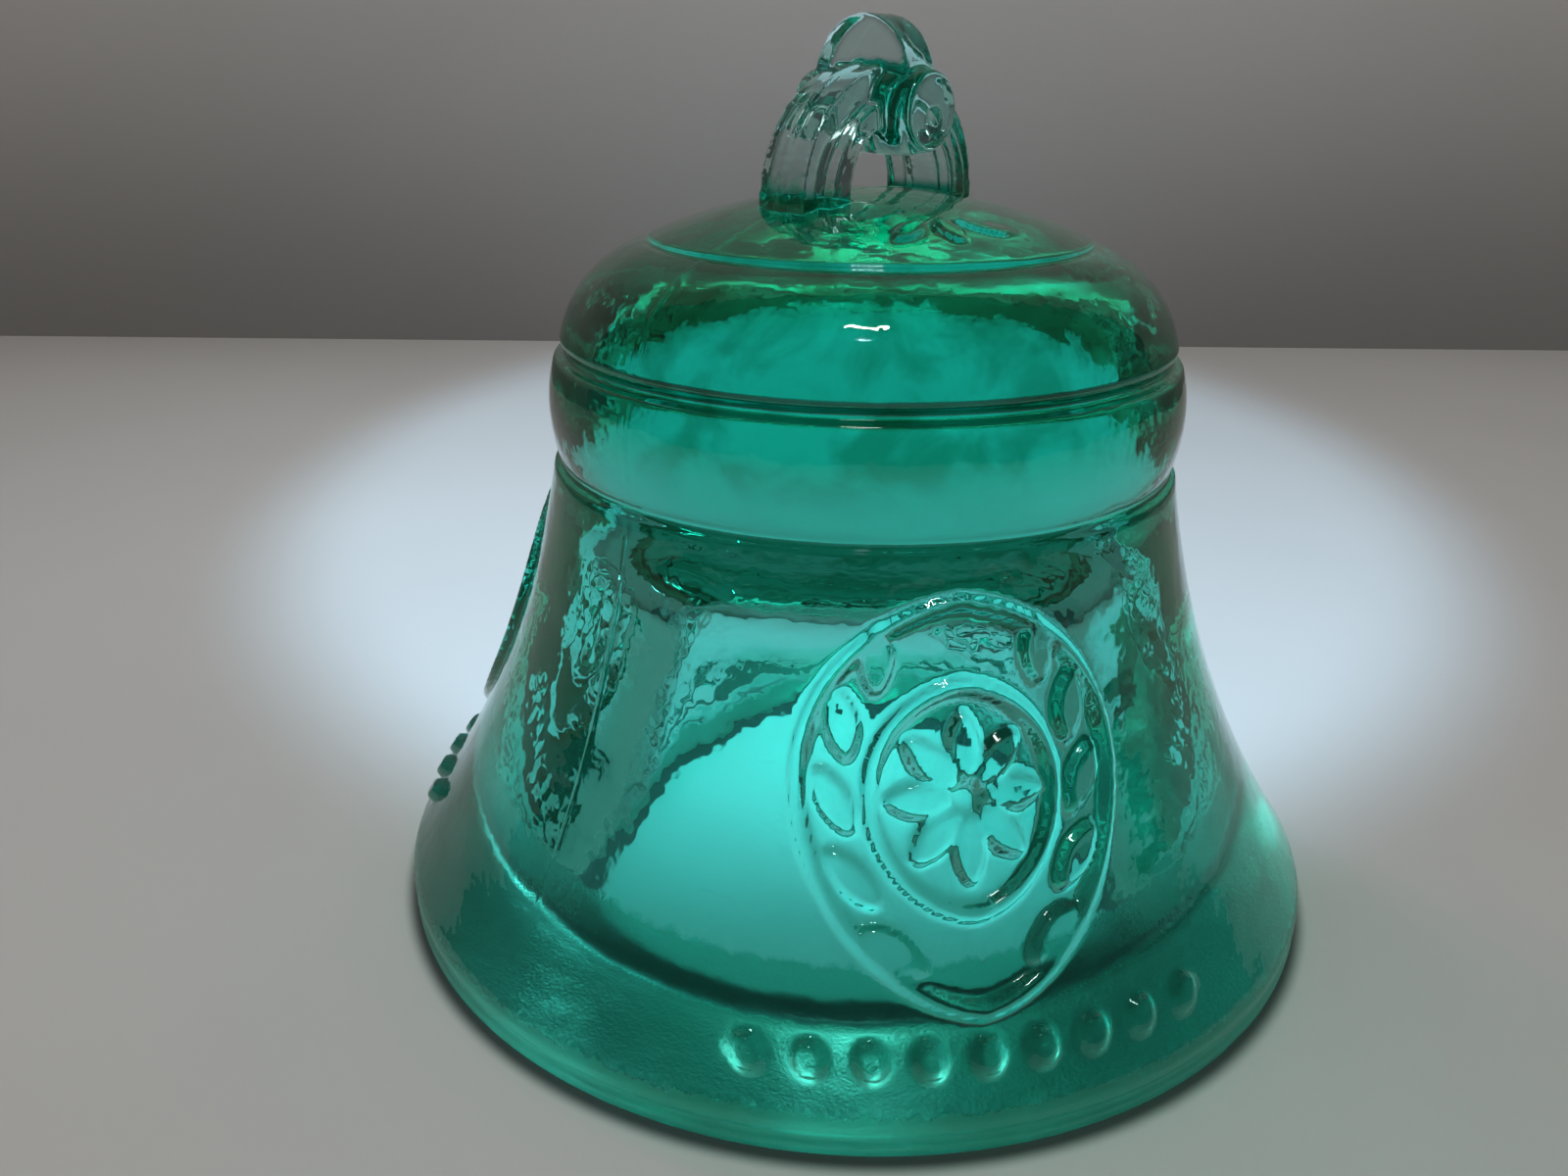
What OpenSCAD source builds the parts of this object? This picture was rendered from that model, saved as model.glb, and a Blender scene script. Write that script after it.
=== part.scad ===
// Pressed glass bell paperweight: a solid crown and dome over a hollow, flared waist.
// Origin at the centre of the foot, +Z up, trunnion pin along X, mould parting plane at X = 0.

/* [Bell body] */
// Radius at the widest ring of the foot rim
lip_r = 44.5; // [43.5:0.5:45.5]
// Height of the edge between the foot rim and the flare
rim_h = 4.4; // [3.6:0.2:5]
// Outer radius at the top of the waist
waist_r = 28.5; // [27.5:0.5:29]
// Height at the top of the waist
waist_z = 42.3; // [41.5:0.1:42.5]
// Radius of the arc that forms the flare
flare_r = 92.4; // [85:0.2:110]

/* [Belt and dome] */
// Largest radius of the rounded belt
belt_r = 28.7; // [28.4:0.1:29.2]
// Height of the middle of the belt
belt_z = 48; // [47.6:0.1:48.2]
// Outer radius at the bottom of the dome
dome_r = 27.5; // [27:0.1:27.8]
// Radius of the ledge at the top of the dome
ledge_r = 20.1; // [19.6:0.1:20.5]
// Height of the ledge
ledge_z = 61.5; // [61.2:0.1:61.8]
// Rise of the crown plate above the ledge
plate_rise = 4.4; // [3.8:0.1:4.8]

/* [Hollow] */
// Radius of the hollow at the foot
mouth_r = 28; // [26:0.5:29]
// Radius of the hollow where its rounded ceiling starts
hollow_r = 18; // [17:0.2:19]
// Height where the rounded ceiling starts
hollow_z = 29; // [27:0.5:29.5]
// Corner radius of the ceiling
ceiling_r = 6.5; // [5:0.5:8]

/* [Crown] */
// Overall height of the bell
total_h = 79.8; // [79:0.1:80.5]
// Radius of the canon arch over its outside
arch_r = 10.8; // [10.4:0.1:11.2]
// Width of the main rib of the arch
arch_w = 5; // [4.4:0.2:5.6]
// Width of each side rib
side_w = 1.2; // [1:0.1:1.6]
// Radius of the trunnion pin where it leaves the arch
pin_r = 3.6; // [3.3:0.1:3.8]
// Half of the pin's length
pin_half = 6.6; // [6.2:0.1:7]
// Half of the lug's width along the pin
lug_half = 5.2; // [4.8:0.1:5.5]
// Thickness of the lug
lug_t = 3.8; // [3.4:0.1:4.2]

/* [Relief] */
// Number of ornament panels round the flare
panels = 3; // [1:1:3]
// Height that the ornament stands out of the flare
relief_h = 0.9; // [0.5:0.1:1.1]
// Direction of the first panel's middle, in degrees from X
panel_az = -35; // [-45:1:-25]

/* [Hidden] */
$fn = 96;
eps = 0.01;
far = 70;

// heights where one zone of the casting meets the next
bow_z = 14;
shoulder_z = 30;
belt_low = 43.2;
belt_high = 52.1;
foot_chamfer = 0.9;

// the flare is an arc through the rim edge and the top of the waist
rim_edge_r = lip_r - 0.35;
chord = [rim_edge_r - waist_r, rim_h - waist_z];
chord_len = norm(chord);
flare_back = sqrt(flare_r * flare_r - chord_len * chord_len / 4);
flare_c = [(rim_edge_r + waist_r) / 2 - chord[1] / chord_len * flare_back,
           (rim_h + waist_z) / 2 + chord[0] / chord_len * flare_back];

// the wall of the hollow is a shallower arc from the mouth to the ceiling
wall_r = 110;
wall_chord = [mouth_r - hollow_r, -hollow_z];
wall_len = norm(wall_chord);
wall_back = sqrt(wall_r * wall_r - wall_len * wall_len / 4);
wall_c = [(mouth_r + hollow_r) / 2 - wall_chord[1] / wall_len * wall_back,
          hollow_z / 2 + wall_chord[0] / wall_len * wall_back];
// direction from the start of the ceiling to its arc's centre, square to the wall
lean = [wall_c[0] - hollow_r, wall_c[1] - hollow_z] / wall_r;
ceiling_c = [hollow_r - ceiling_r * lean[0], hollow_z - ceiling_r * lean[1]];

// the dome is one arc from its foot to the ledge, and the plate is a ball cap
dome_arc = 10.6;
dome_low = 53.4;
dome_mid = [(dome_r + ledge_r) / 2, (dome_low + ledge_z) / 2];
dome_chord = [dome_r - ledge_r, dome_low - ledge_z];
dome_len = norm(dome_chord);
dome_back = sqrt(dome_arc * dome_arc - dome_len * dome_len / 4);
dome_c = [dome_mid[0] + dome_chord[1] / dome_len * dome_back,
          dome_mid[1] - dome_chord[0] / dome_len * dome_back];
plate_r = ledge_r - 0.7;
plate_z = ledge_z + 0.5;
cap_rise = plate_rise - 0.5;
cap_r = (plate_r * plate_r + cap_rise * cap_rise) / (2 * cap_rise);

// crown sizes
arch_z = 65;
arch_shift = 0.5;
gap_half = 6.6;
gap_round = 5.5;
gap_top = 71.4;
side_drop = 2.3;
rib_edge = arch_w / 2;
side_edge = rib_edge + side_w;
pin_z = 72.3;
pin_end_r = pin_r - 0.35;
pin_round = 0.6;
dimple_r = 1.7;
dimple_depth = 0.5;
dimple_drop = 0.8;
lug_z = 74.4;
lug_low = 75;
lug_stem = 3.6;

// ornament sizes
oval_z = 24.5;
oval_len = 30;
oval_w = 26;
bar_w = 1.1;
band_gap = 5.2;
leaf_len = 4.6;
leaf_w = 2;
leaf_rows = 5;
leaf_turn = 24;
petals = 8;
petal_len = 4.6;
petal_w = 2;
beads = 9;
bead_step = 4.4;
bead_z = 7.4;
bead_r = 1;
seam_w = 0.4;
seam_h = 0.18;

// ---- outlines of the body, with x as the radius and y as the height ----

module band(z0, z1, r = far) {
  translate([0, z0])
    square([r, z1 - z0]);
}

// everything inside the flare, grown outwards by d
module flare_side(d = 0) {
  difference() {
    band(rim_h, waist_z);
    translate(flare_c)
      circle(r = flare_r - d, $fn = 360);
  }
}

module hollow_side() {
  difference() {
    translate([0, -1])
      square([mouth_r + 4, hollow_z + 1]);
    translate(wall_c)
      circle(r = wall_r, $fn = 360);
  }
  intersection() {
    translate(ceiling_c)
      circle(r = ceiling_r);
    band(hollow_z, hollow_z + 2 * ceiling_r);
  }
  translate([0, hollow_z - eps])
    square([ceiling_c[0], ceiling_c[1] + ceiling_r - hollow_z + eps]);
}

module rim_side() {
  polygon([[0, 0], [lip_r - 1.1, 0], [lip_r - 0.3, 0.35], [lip_r, foot_chamfer + 0.4],
           [lip_r, rim_h - 1.1], [rim_edge_r, rim_h], [0, rim_h]]);
}

// rounded bead between the two grooves
module belt_side() {
  intersection() {
    band(belt_low, belt_high);
    translate([belt_r - 14, belt_z - 0.4])
      circle(r = 14);
  }
}

module dome_side() {
  intersection() {
    translate(dome_c)
      circle(r = dome_arc);
    polygon([[0, belt_high], [dome_r - 0.5, belt_high], [far, dome_low], [far, ledge_z], [0, ledge_z]]);
  }
  band(belt_high, ledge_z, ledge_r - 1);
}

module spin() {
  rotate_extrude($fn = 180)
    children();
}

// ---- the zones of the casting, from the foot up ----

module foot_rim() {
  color("mediumseagreen")
    spin()
      difference() {
        rim_side();
        hollow_side();
      }
}

module sound_bow() {
  color("mediumaquamarine")
    spin()
      difference() {
        intersection() {
          flare_side();
          band(rim_h, bow_z);
        }
        hollow_side();
      }
}

module waist() {
  color("aquamarine")
    spin()
      difference() {
        intersection() {
          flare_side();
          band(bow_z, shoulder_z);
        }
        hollow_side();
      }
}

// top of the waist, closed by the rounded ceiling, with the lower groove
module shoulder() {
  color("mediumturquoise")
    spin()
      difference() {
        union() {
          intersection() {
            flare_side();
            band(shoulder_z, waist_z);
          }
          band(waist_z, belt_low, waist_r - 0.6);
        }
        hollow_side();
      }
}

module belt() {
  color("turquoise")
    spin()
      belt_side();
}

module dome() {
  color("seagreen")
    spin()
      dome_side();
}

// shallow cap of a ball that carries the crown
module plate_solid() {
  intersection() {
    translate([0, 0, plate_z + cap_rise - cap_r])
      sphere(r = cap_r, $fn = 240);
    translate([0, 0, ledge_z])
      cylinder(r = plate_r, h = plate_rise + 1, $fn = 240);
  }
}

module crown_plate() {
  color("mediumseagreen")
    plate_solid();
}

// ---- the crown ----

// upright slab across the pin's direction, from x0 to x1, of an outline in Y and Z
module across_x(x0, x1) {
  translate([x0, 0, 0])
    rotate([90, 0, 90])
      linear_extrude(x1 - x0)
        children();
}

// outline of an arch with straight legs, of radius r
module arch_outline(r) {
  intersection() {
    union() {
      for (s = [-1, 1])
        translate([s * arch_shift, arch_z])
          circle(r = r);
      translate([-arch_shift, arch_z])
        square([2 * arch_shift, r]);
    }
    translate([-far / 2, arch_z])
      square([far, far]);
  }
  translate([-r - arch_shift, ledge_z])
    square([2 * (r + arch_shift), arch_z - ledge_z]);
}

// gap between the legs, with a slightly flattened round top
module gap_outline() {
  in_half = gap_half - gap_round;
  for (s = [-1, 1])
    translate([s * in_half, gap_top - gap_round])
      circle(r = gap_round);
  translate([-in_half, ledge_z - 1])
    square([2 * in_half, gap_top - ledge_z + 1]);
  translate([-gap_half, ledge_z - 1])
    square([2 * gap_half, gap_top - gap_round - ledge_z + 1]);
}

// arch over its gap, with the round hub of the trunnions hanging into the gap
module arch_slab(r, x0, x1) {
  across_x(x0, x1) {
    difference() {
      arch_outline(r);
      gap_outline();
    }
    translate([0, pin_z])
      circle(r = pin_r);
  }
}

module canon_arch() {
  color("paleturquoise")
    difference() {
      arch_slab(arch_r, -rib_edge, rib_edge);
      plate_solid();
    }
}

module side_rib(s) {
  difference() {
    arch_slab(arch_r - side_drop, s > 0 ? rib_edge : -side_edge, s > 0 ? side_edge : -rib_edge);
    plate_solid();
  }
}

module canon_rib_front() {
  color("powderblue")
    side_rib(1);
}

module canon_rib_rear() {
  color("powderblue")
    side_rib(-1);
}

// stub on the side rib with a rounded end, s is the side that it stands out on
module trunnion_solid(s) {
  translate([0, 0, pin_z])
    rotate([0, s * 90, 0])
      rotate_extrude()
        polygon([[0, side_edge], [pin_r, side_edge], [pin_end_r, pin_half - pin_round],
                 [pin_end_r - 0.15, pin_half - 0.2], [pin_end_r - pin_round, pin_half], [0, pin_half]]);
}

// the stub with the round dimple low on its end
module trunnion(s) {
  color("cadetblue")
    difference() {
      trunnion_solid(s);
      translate([s * (pin_half + dimple_r - dimple_depth), 0, pin_z - dimple_drop])
        sphere(r = dimple_r);
    }
}

module trunnion_front() {
  trunnion(1);
}

module trunnion_rear() {
  trunnion(-1);
}

// rounded lug that stands over the arch in line with the pin
module crown_lug() {
  color("lightcyan")
    difference() {
      translate([0, lug_t / 2, 0])
        rotate([90, 0, 0])
          linear_extrude(lug_t) {
            intersection() {
              translate([0, lug_z])
                pointed_oval(2 * (total_h - lug_z), 2 * lug_half);
              translate([-far / 2, lug_low])
                square([far, far]);
            }
            translate([-lug_stem, pin_z])
              square([2 * lug_stem, lug_low - pin_z + eps]);
          }
      arch_slab(arch_r, -rib_edge, rib_edge);
      arch_slab(arch_r - side_drop, -side_edge, side_edge);
      trunnion_solid(1);
      trunnion_solid(-1);
    }
}

// ---- raised ornament ----

// outline in each panel's own plane, cut to a thin skin on the flare
module on_flare() {
  for (k = [0 : panels - 1])
    rotate([0, 0, panel_az + k * 120])
      intersection() {
        spin()
          difference() {
            flare_side(relief_h);
            flare_side();
          }
        rotate([90, 0, 90])
          linear_extrude(far)
            children();
      }
}

// pointed oval of two arcs, upright, that is len high and w wide
module pointed_oval(len, w) {
  r = (len * len + w * w) / (4 * w);
  intersection() {
    translate([r - w / 2, 0])
      circle(r = r);
    translate([w / 2 - r, 0])
      circle(r = r);
  }
}

// narrow frame round the pointed oval that is inset by d
module frame_outline(d) {
  translate([0, oval_z])
    difference() {
      pointed_oval(oval_len - 2.4 * d, oval_w - 2 * d);
      pointed_oval(oval_len - 2.4 * (d + bar_w), oval_w - 2 * (d + bar_w));
    }
}

module panel_frames() {
  color("palegreen") {
    on_flare()
      frame_outline(0);
    on_flare()
      frame_outline(band_gap);
  }
}

// two sprays of leaves in the band between the frames
module panel_leaves() {
  half_w = oval_w / 2 - (band_gap + bar_w) / 2;
  curve_r = (oval_len * oval_len / 4 + half_w * half_w) / (2 * half_w);
  step = 2 * asin((leaf_len + 0.9) / (2 * curve_r));
  color("greenyellow")
    for (s = [-1, 1])
      for (i = [0 : leaf_rows - 1])
        on_flare()
          translate([s * (half_w - curve_r), oval_z])
            rotate((i - (leaf_rows - 1) / 2) * step * s)
              translate([s * curve_r, 0])
                rotate(s * leaf_turn)
                  pointed_oval(leaf_len, leaf_w);
}

module panel_rosettes() {
  color("springgreen")
    on_flare()
      translate([0, oval_z])
        for (i = [0 : petals - 1])
          rotate(i * 360 / petals)
            translate([0, petal_len / 2 + 1.3])
              pointed_oval(petal_len, petal_w);
}

module rim_beads() {
  color("palegreen")
    on_flare()
      for (i = [0 : beads - 1])
        translate([(i - (beads - 1) / 2) * bead_step, bead_z])
          circle(r = bead_r);
}

module plate_sprig() {
  color("palegreen")
    difference() {
      intersection() {
        translate([0, 0, 0.35])
          plate_solid();
        for (i = [-1, 0, 1])
          rotate([0, 0, -24 + i * 13])
            translate([14.2, 0, 0])
              linear_extrude(far)
                rotate(90 + i * 40)
                  pointed_oval(4, 1.5);
      }
      plate_solid();
    }
}

// fine raised line where the two halves of the mould met
module mould_seams() {
  color("honeydew")
    intersection() {
      spin()
        difference() {
          flare_side(seam_h);
          flare_side();
        }
      translate([-seam_w / 2, -far, 0])
        cube([seam_w, 2 * far, far]);
    }
}

foot_rim();
sound_bow();
waist();
shoulder();
belt();
dome();
crown_plate();
canon_arch();
canon_rib_front();
canon_rib_rear();
trunnion_front();
trunnion_rear();
crown_lug();
panel_frames();
panel_leaves();
panel_rosettes();
rim_beads();
plate_sprig();
mould_seams();
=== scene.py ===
import math

import bmesh
import bpy
import numpy as np
from mathutils import Matrix, Vector


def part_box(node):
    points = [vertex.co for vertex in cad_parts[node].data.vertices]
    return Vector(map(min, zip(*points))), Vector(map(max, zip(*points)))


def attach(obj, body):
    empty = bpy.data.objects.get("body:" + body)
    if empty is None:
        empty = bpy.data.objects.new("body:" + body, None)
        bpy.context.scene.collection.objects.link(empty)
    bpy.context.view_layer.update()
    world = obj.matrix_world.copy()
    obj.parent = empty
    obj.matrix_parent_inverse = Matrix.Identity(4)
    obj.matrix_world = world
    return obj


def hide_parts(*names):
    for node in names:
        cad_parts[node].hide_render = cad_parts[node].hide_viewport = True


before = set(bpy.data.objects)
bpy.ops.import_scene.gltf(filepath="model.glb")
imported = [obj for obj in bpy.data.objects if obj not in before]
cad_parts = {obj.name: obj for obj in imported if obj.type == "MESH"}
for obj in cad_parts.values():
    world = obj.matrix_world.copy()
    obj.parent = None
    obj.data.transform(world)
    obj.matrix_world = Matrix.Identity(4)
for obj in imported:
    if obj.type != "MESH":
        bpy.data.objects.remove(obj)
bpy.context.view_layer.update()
mm = 0.001
print("frame loaded:", len(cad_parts), "nodes")


def boxMm(node):
    low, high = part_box(node)
    return [v / mm for v in low], [v / mm for v in high]


def addObject(name, data):
    thing = bpy.data.objects.new(name, data)
    bpy.context.scene.collection.objects.link(thing)
    return thing


# distance and height are from the bell's axis and foot; pan turns away from the axis
cameraView = {"azimuth": -50.0, "distance": 116.3, "height": 75.8, "tilt": 22.36, "pan": 3.54,
              "roll": 0.54, "lens": 29.25, "sensor": 36.0, "nearest": 5.0}


def flatDirection(degrees):
    angle = math.radians(degrees)
    return Vector((math.cos(angle), math.sin(angle), 0.0))


def makeCamera(view):
    data = bpy.data.cameras.new("viewCamera")
    data.lens = view["lens"]
    data.sensor_width = view["sensor"]
    data.clip_start = view["nearest"] * mm
    camera = addObject("viewCamera", data)
    inward = flatDirection(view["azimuth"] + 180 + view["pan"])
    tilt = math.radians(view["tilt"])
    forward = inward * math.cos(tilt) - Vector((0, 0, math.sin(tilt)))
    right = forward.cross(Vector((0, 0, 1))).normalized()
    up = right.cross(forward)
    roll = Matrix.Rotation(math.radians(-view["roll"]), 3, forward)
    right, up = roll @ right, roll @ up
    turn = Matrix((right, up, -forward)).transposed().to_4x4()
    place = flatDirection(view["azimuth"]) * view["distance"] * mm
    place.z = view["height"] * mm
    camera.matrix_world = Matrix.Translation(place) @ turn
    bpy.context.scene.camera = camera


makeCamera(cameraView)
print("camera placed")


def link(tree, start, end):
    tree.links.new(start, end)


def mathNode(tree, operation, first, second=None, third=None):
    node = tree.nodes.new("ShaderNodeMath")
    node.operation = operation
    for socket, value in zip(node.inputs, (first, second, third)):
        if value is None:
            continue
        if isinstance(value, (int, float)):
            socket.default_value = value
        else:
            link(tree, value, socket)
    return node.outputs[0]


def rampBetween(tree, value, low, high, smooth=True, toLow=0.0, toHigh=1.0):
    node = tree.nodes.new("ShaderNodeMapRange")
    node.interpolation_type = "SMOOTHSTEP" if smooth else "LINEAR"
    link(tree, value, node.inputs["Value"])
    for name, amount in (("From Min", low), ("From Max", high), ("To Min", toLow), ("To Max", toHigh)):
        if isinstance(amount, (int, float)):
            node.inputs[name].default_value = amount
        else:
            link(tree, amount, node.inputs[name])
    return node.outputs["Result"]


def tintBetween(tree, amount, first, second):
    node = tree.nodes.new("ShaderNodeMix")
    node.data_type = "RGBA"
    link(tree, amount, node.inputs["Factor"])
    for socket, value in zip([i for i in node.inputs if i.type == "RGBA"], (first, second)):
        if isinstance(value, tuple):
            socket.default_value = value
        else:
            link(tree, value, socket)
    return [o for o in node.outputs if o.type == "RGBA"][0]


def axisDistance(tree, x, y):
    squares = mathNode(tree, "ADD", mathNode(tree, "MULTIPLY", x, x), mathNode(tree, "MULTIPLY", y, y))
    return mathNode(tree, "SQRT", squares)


def noiseField(tree, vector, scale, detail, twist=0.0):
    noise = tree.nodes.new("ShaderNodeTexNoise")
    noise.inputs["Detail"].default_value = detail
    noise.inputs["Distortion"].default_value = twist
    link(tree, vector, noise.inputs["Vector"])
    if isinstance(scale, float):
        noise.inputs["Scale"].default_value = scale
    else:
        link(tree, scale, noise.inputs["Scale"])
    return noise.outputs["Fac"]


def scaledVector(tree, vector, amount):
    node = tree.nodes.new("ShaderNodeVectorMath")
    node.operation = "SCALE"
    link(tree, vector, node.inputs[0])
    link(tree, amount, node.inputs["Scale"])
    return node.outputs["Vector"]


def addBump(tree, shader, height, strength, distance):
    bump = tree.nodes.new("ShaderNodeBump")
    bump.inputs["Strength"].default_value = strength
    bump.inputs["Distance"].default_value = distance
    link(tree, height, bump.inputs["Height"])
    link(tree, bump.outputs["Normal"], shader.inputs["Normal"])


def startMaterial(name):
    material = bpy.data.materials.new(name)
    material.use_nodes = True
    return material, material.node_tree, material.node_tree.nodes["Principled BSDF"]


def splitParts(tree, vector):
    parts = tree.nodes.new("ShaderNodeSeparateXYZ")
    link(tree, vector, parts.inputs[0])
    return parts.outputs


def ownCoords(tree):
    return tree.nodes.new("ShaderNodeTexCoord").outputs["Object"]


mottleLook = {"detail": 6.0, "low": 0.3, "high": 0.7, "bumpStrength": 0.08, "bumpDepth": 0.5}


def makeMottleGroup(look):
    # faint blotches for the plain surfaces round the bell
    group = bpy.data.node_groups.new("faintMottle", "ShaderNodeTree")
    inputs = (("Blotch Scale", "NodeSocketFloat", 6.0), ("Amount", "NodeSocketFloat", 0.05),
              ("Color", "NodeSocketColor", (0.6, 0.6, 0.6, 1.0)))
    for name, kind, value in inputs:
        socket = group.interface.new_socket(name, in_out="INPUT", socket_type=kind)
        socket.default_value = value
    group.interface.new_socket("Color", in_out="OUTPUT", socket_type="NodeSocketColor")
    group.interface.new_socket("Height", in_out="OUTPUT", socket_type="NodeSocketFloat")
    start = group.nodes.new("NodeGroupInput")
    end = group.nodes.new("NodeGroupOutput")
    blotches = noiseField(group, ownCoords(group), start.outputs["Blotch Scale"], look["detail"])
    darkest = mathNode(group, "SUBTRACT", 1.0, start.outputs["Amount"])
    level = rampBetween(group, blotches, look["low"], look["high"], True, darkest, 1.0)
    link(group, scaledVector(group, start.outputs["Color"], level), end.inputs["Color"])
    link(group, blotches, end.inputs["Height"])
    return group


mottle = makeMottleGroup(mottleLook)


wallLook = {"color": (0.60, 0.575, 0.56, 1.0), "roughness": 0.9, "blotch": 5.0, "mottle": 0.06,
            "shadeHeight": 130.0, "shade": 0.45}


def wallShade(tree, look):
    # the wall darkens towards the table
    height = splitParts(tree, ownCoords(tree))["Z"]
    return rampBetween(tree, height, 0.0, look["shadeHeight"] * mm, True, look["shade"], 1.0)


floorLook = {"color": (0.60, 0.585, 0.57, 1.0), "roughness": 0.75, "blotch": 9.0, "mottle": 0.05,
             "shadeInner": 24.9, "shadeOuter": 46.0, "shadeEdge": 0.8, "shade": 0.10}


def floorShade(tree, look):
    # little light gets in under the foot
    place = splitParts(tree, ownCoords(tree))
    reach = axisDistance(tree, place["X"], place["Y"])
    inner, outer, edge = look["shadeInner"] * mm, look["shadeOuter"] * mm, look["shadeEdge"] * mm
    within = rampBetween(tree, reach, inner, inner + edge)
    beyond = rampBetween(tree, reach, outer - 2 * edge, outer)
    ring = mathNode(tree, "SUBTRACT", within, beyond)
    return rampBetween(tree, ring, 0.0, 1.0, False, 1.0, look["shade"])


def plainMaterial(name, look, shade):
    material, tree, shader = startMaterial(name)
    shader.inputs["Roughness"].default_value = look["roughness"]
    group = tree.nodes.new("ShaderNodeGroup")
    group.node_tree = mottle
    group.inputs["Blotch Scale"].default_value = look["blotch"]
    group.inputs["Amount"].default_value = look["mottle"]
    group.inputs["Color"].default_value = look["color"]
    shaded = scaledVector(tree, group.outputs["Color"], shade(tree, look))
    link(tree, shaded, shader.inputs["Base Color"])
    addBump(tree, shader, group.outputs["Height"], mottleLook["bumpStrength"], mottleLook["bumpDepth"] * mm)
    return material


# lengths on the glass are in mm, and noise scales are turns per metre
frostLook = {"tint": (0.14, 0.64, 0.53, 1.0), "roughness": 0.30, "top": 3.8, "fade": 0.6, "ragged": 1.6,
             "raggedScale": 900.0, "raggedDetail": 3.0, "raggedStretch": 0.12,
             "grainScale": 2600.0, "grainDetail": 1.0, "grainDepth": 0.03}


def frostMask(tree, frost, coords, height):
    # the frost ends in a ragged edge that runs up the foot of the flare
    stretch = tree.nodes.new("ShaderNodeMapping")
    stretch.inputs["Scale"].default_value = (1.0, 1.0, frost["raggedStretch"])
    link(tree, coords, stretch.inputs["Vector"])
    ragged = noiseField(tree, stretch.outputs["Vector"], frost["raggedScale"], frost["raggedDetail"])
    shifted = mathNode(tree, "ADD", height, mathNode(tree, "MULTIPLY", ragged, -frost["ragged"] * mm))
    return rampBetween(tree, shifted, frost["top"] * mm, (frost["top"] - frost["fade"]) * mm)


cloudLook = {"clear": (0.03, 0.78, 0.62, 1.0), "cloudy": (0.003, 0.33, 0.20, 1.0), "scale": 150.0,
             "detail": 5.0, "twist": 0.6, "thin": 0.40, "thick": 0.62, "low": 44.0, "full": 49.5,
             "fadeFrom": 65.5, "fadeTo": 66.5}


def cloudyTint(tree, clouds, coords, height, thinGlass):
    # deeper green with cloudy streaks in the thick glass of the dome and belt
    noise = noiseField(tree, coords, clouds["scale"], clouds["detail"], clouds["twist"])
    cloudy = rampBetween(tree, noise, clouds["thin"], clouds["thick"])
    inDome = rampBetween(tree, height, clouds["low"] * mm, clouds["full"] * mm)
    belowCrown = rampBetween(tree, height, clouds["fadeFrom"] * mm, clouds["fadeTo"] * mm, True, 1.0, 0.0)
    thickTint = tintBetween(tree, cloudy, clouds["clear"], clouds["cloudy"])
    return tintBetween(tree, mathNode(tree, "MULTIPLY", inDome, belowCrown), thinGlass, thickTint)


rippleLook = {"scale": 170.0, "detail": 3.0, "depth": 0.16, "ceilingDepth": 0.35, "reach": 17.0,
              "reachEnd": 20.0, "low": 27.0, "lowEnd": 32.0, "high": 38.0, "highEnd": 42.0}


def ceilingMask(tree, ripple, place):
    # the ceiling of the hollow and the top of its wall, where the plunger left wrinkles
    x, y, z = place
    reach = axisDistance(tree, x, y)
    inHollow = rampBetween(tree, reach, ripple["reach"] * mm, ripple["reachEnd"] * mm, True, 1.0, 0.0)
    underDome = rampBetween(tree, z, ripple["high"] * mm, ripple["highEnd"] * mm, True, 1.0, 0.0)
    nearTop = rampBetween(tree, z, ripple["low"] * mm, ripple["lowEnd"] * mm)
    return mathNode(tree, "MULTIPLY", mathNode(tree, "MULTIPLY", inHollow, underDome), nearTop)


def rippleHeight(tree, ripple, frost, frosted, coords):
    # slow ripple of pressed glass all over, and fine grain on the frost
    onCeiling = ceilingMask(tree, ripple, splitParts(tree, coords))
    depth = rampBetween(tree, onCeiling, 0.0, 1.0, False, ripple["depth"], ripple["ceilingDepth"])
    slow = mathNode(tree, "MULTIPLY", noiseField(tree, coords, ripple["scale"], ripple["detail"]), depth)
    grain = noiseField(tree, coords, frost["grainScale"], frost["grainDetail"])
    fine = mathNode(tree, "MULTIPLY", grain, frosted)
    return mathNode(tree, "MULTIPLY_ADD", fine, frost["grainDepth"], slow)


def letLampsThrough(tree, shader, output):
    # lamps shine through the glass onto what is behind it, tinted by its depth
    path = tree.nodes.new("ShaderNodeLightPath")
    clear = tree.nodes.new("ShaderNodeBsdfTransparent")
    choose = tree.nodes.new("ShaderNodeMixShader")
    link(tree, path.outputs["Is Shadow Ray"], choose.inputs["Fac"])
    link(tree, shader.outputs["BSDF"], choose.inputs[1])
    link(tree, clear.outputs["BSDF"], choose.inputs[2])
    link(tree, choose.outputs["Shader"], output.inputs["Surface"])


glassLook = {"base": (0.97, 1.0, 0.995, 1.0), "ior": 1.52, "polished": 0.012,
             "absorb": (0.0, 0.82, 0.74, 1.0), "density": 62.0}


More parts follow.
